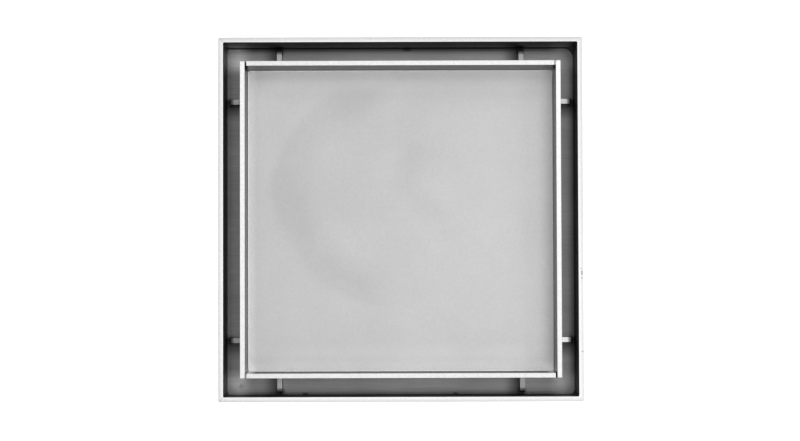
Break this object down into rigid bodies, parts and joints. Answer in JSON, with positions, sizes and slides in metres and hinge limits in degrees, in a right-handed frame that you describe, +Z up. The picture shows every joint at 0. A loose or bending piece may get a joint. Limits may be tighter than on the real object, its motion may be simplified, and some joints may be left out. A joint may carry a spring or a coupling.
{
  "type": "square shower drain",
  "caption": "Square stainless shower drain: a folded pan with a round outlet below and a loose folded tray that holds a piece of floor tile, with a drain slot all round.",
  "frame": {"origin": "centre of the outlet spigot's lower end, on which the drain stands", "axes": "+Z up out of the tray, +X to the right and +Y away, each square to two sides of the frame"},
  "size_m": [0.115, 0.115, 0.0516],
  "materials": {
    "pan_steel": "mill, rim ground",
    "outlet_steel": "mill",
    "tray_steel": "dull mill",
    "foot_steel": "sheared edge"
  },
  "bodies": {
    "root": {"pan": "pan_steel", "outlet_spigot": "outlet_steel", "tile_tray": "tray_steel", "foot_back_left": "foot_steel", "foot_back_right": "foot_steel", "foot_front_left": "foot_steel", "foot_front_right": "foot_steel", "foot_left_back": "foot_steel", "foot_left_front": "foot_steel", "foot_right_back": "foot_steel", "foot_right_front": "foot_steel"}
  },
  "joints": []
}
